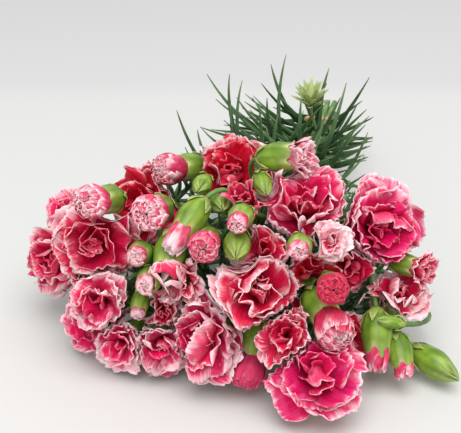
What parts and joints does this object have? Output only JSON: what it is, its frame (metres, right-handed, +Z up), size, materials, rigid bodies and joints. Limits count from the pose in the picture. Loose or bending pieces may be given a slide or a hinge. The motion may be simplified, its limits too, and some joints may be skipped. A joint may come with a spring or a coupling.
{
  "type": "bunch of spray carnations",
  "caption": "Bunch of cut spray carnations lying on a table: ruffled crimson and pink blooms with pale edges, buds, narrow leaves and stems tied with a band.",
  "frame": {"origin": "on the table under the middle of the bunch's bounding box", "axes": "+Y from the flower heads to the cut stem ends, +Z up from the table, +X to the right when looking at the heads from the front"},
  "size_m": [0.2291, 0.4045, 0.1094],
  "materials": {
    "petal_red": "soft matt petals, crimson to deep pink with pale toothed edges",
    "bud_pink": "soft matt petals, pink with cream edges",
    "stem_green": "smooth waxy green, yellow-green on the calyces and blue-green on the leaves",
    "band": "natural rubber, dull"
  },
  "bodies": {
    "root": {"rubber_band": "band", "spray_far_left": "stem_green", "spray_left": "stem_green", "spray_lower_left": "stem_green", "spray_low": "stem_green", "spray_mid": "stem_green", "spray_top": "stem_green", "spray_centre": "stem_green", "spray_front": "stem_green", "spray_top_right": "stem_green", "spray_right": "stem_green", "spray_lower_right": "stem_green", "bud_left_low": "bud_pink", "bud_left_mid": "bud_pink", "bud_left_high": "bud_pink", "bud_mid_left": "bud_pink", "bud_mid_top": "bud_pink", "bud_centre_top": "bud_pink", "bud_right_high": "bud_pink", "bud_low_right": "bud_pink", "bud_lower_right": "bud_pink", "opening_left_top": "bud_pink", "opening_left_low": "bud_pink", "opening_left_back": "bud_pink", "opening_left_inner": "bud_pink", "opening_mid": "bud_pink", "opening_top": "bud_pink", "opening_centre": "bud_pink", "opening_front_left": "bud_pink", "opening_front_right": "bud_pink", "opening_top_right": "bud_pink", "opening_right_mid": "bud_pink", "opening_right": "bud_pink", "opening_low_right": "bud_pink", "bloom_far_left": "petal_red", "bloom_far_left_upper": "petal_red", "bloom_left": "petal_red", "bloom_left_back": "petal_red", "bloom_left_bottom": "petal_red", "bloom_left_mid": "petal_red", "bloom_low": "petal_red", "bloom_low_left": "petal_red", "bloom_low_mid": "petal_red", "bloom_mid_low": "petal_red", "bloom_top": "petal_red", "bloom_centre": "petal_red", "bloom_centre_back": "petal_red", "bloom_front": "petal_red", "bloom_front_back": "petal_red", "bloom_top_right": "petal_red", "bloom_inner": "petal_red", "bloom_right": "petal_red", "bloom_right_small": "petal_red", "bloom_right_under": "petal_red", "bloom_lower_right": "petal_red", "bloom_low_right": "petal_red"}
  },
  "joints": []
}
